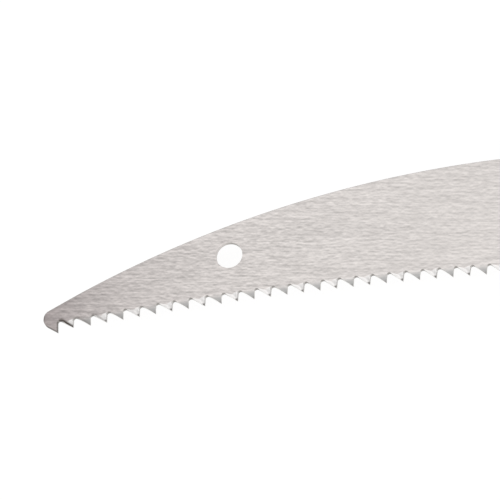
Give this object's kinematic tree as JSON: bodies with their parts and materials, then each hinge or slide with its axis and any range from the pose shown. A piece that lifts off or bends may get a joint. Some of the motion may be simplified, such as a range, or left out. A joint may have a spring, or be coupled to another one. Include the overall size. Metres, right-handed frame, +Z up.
{
  "type": "folding pruning saw",
  "caption": "Folding pruning saw with a curved pull-tooth steel blade, a hang hole near the toe, a hardwood handle with a blade slot and a wing nut that clamps the pivot.",
  "frame": {"origin": "middle of the footprint of the open saw, on the surface that it lies on", "axes": "+X along the handle from the toe to the butt, +Y towards the back of the blade, +Z up through the flat of the blade"},
  "size_m": [0.4656, 0.051, 0.0404],
  "materials": {
    "ground_blade_steel": "fine ground, bare",
    "liner_steel": "satin rolled sheet",
    "zinc_plated_steel": "bright zinc plated",
    "bronze": "plain bearing bronze",
    "brass": "satin",
    "oiled_hardwood": "oiled"
  },
  "bodies": {
    "handle": {"lower_liner": "liner_steel", "upper_liner": "liner_steel", "pivot_bolt": "zinc_plated_steel", "pivot_sleeve": "zinc_plated_steel", "back_spacer": "zinc_plated_steel", "butt_spacer": "zinc_plated_steel", "stop_pin": "zinc_plated_steel", "flat_washer": "zinc_plated_steel", "friction_washer_lower": "bronze", "friction_washer_upper": "bronze", "lower_pivot_plate": "brass", "upper_pivot_plate": "brass", "plate_screw_1": "brass", "plate_screw_2": "brass", "plate_screw_3": "brass", "plate_screw_4": "brass", "barrel_nut_1": "brass", "barrel_nut_2": "brass", "barrel_nut_3": "brass", "barrel_nut_4": "brass", "handle_screw_1": "brass", "handle_screw_2": "brass", "handle_screw_3": "brass", "handle_screw_4": "brass", "lanyard_tube": "brass", "lower_scale": "oiled_hardwood", "upper_scale": "oiled_hardwood"},
    "blade": {"blade": "ground_blade_steel"},
    "lift": {"spring_washer": "zinc_plated_steel"},
    "nut": {"wing_nut": "zinc_plated_steel"}
  },
  "joints": [
    {"name": "blade_fold", "type": "hinge", "parent": "handle", "child": "blade", "pos_m": [-0.015, 0.0055, 0.0108], "axis": [0, 0, 1], "range_deg": [0, 172]},
    {"name": "washer_lift", "type": "slide", "parent": "handle", "child": "lift", "axis": [0, 0, 1], "range_m": [0, 0.001]},
    {"name": "wing_nut_turn", "type": "hinge", "parent": "lift", "child": "nut", "pos_m": [-0.015, 0.0055, 0.0281], "axis": [0, 0, 1], "range_deg": [0, 360]}
  ],
  "couplings": [
    {"joint": "washer_lift", "follows": "wing_nut_turn", "m_per_rad": 0.000159}
  ]
}
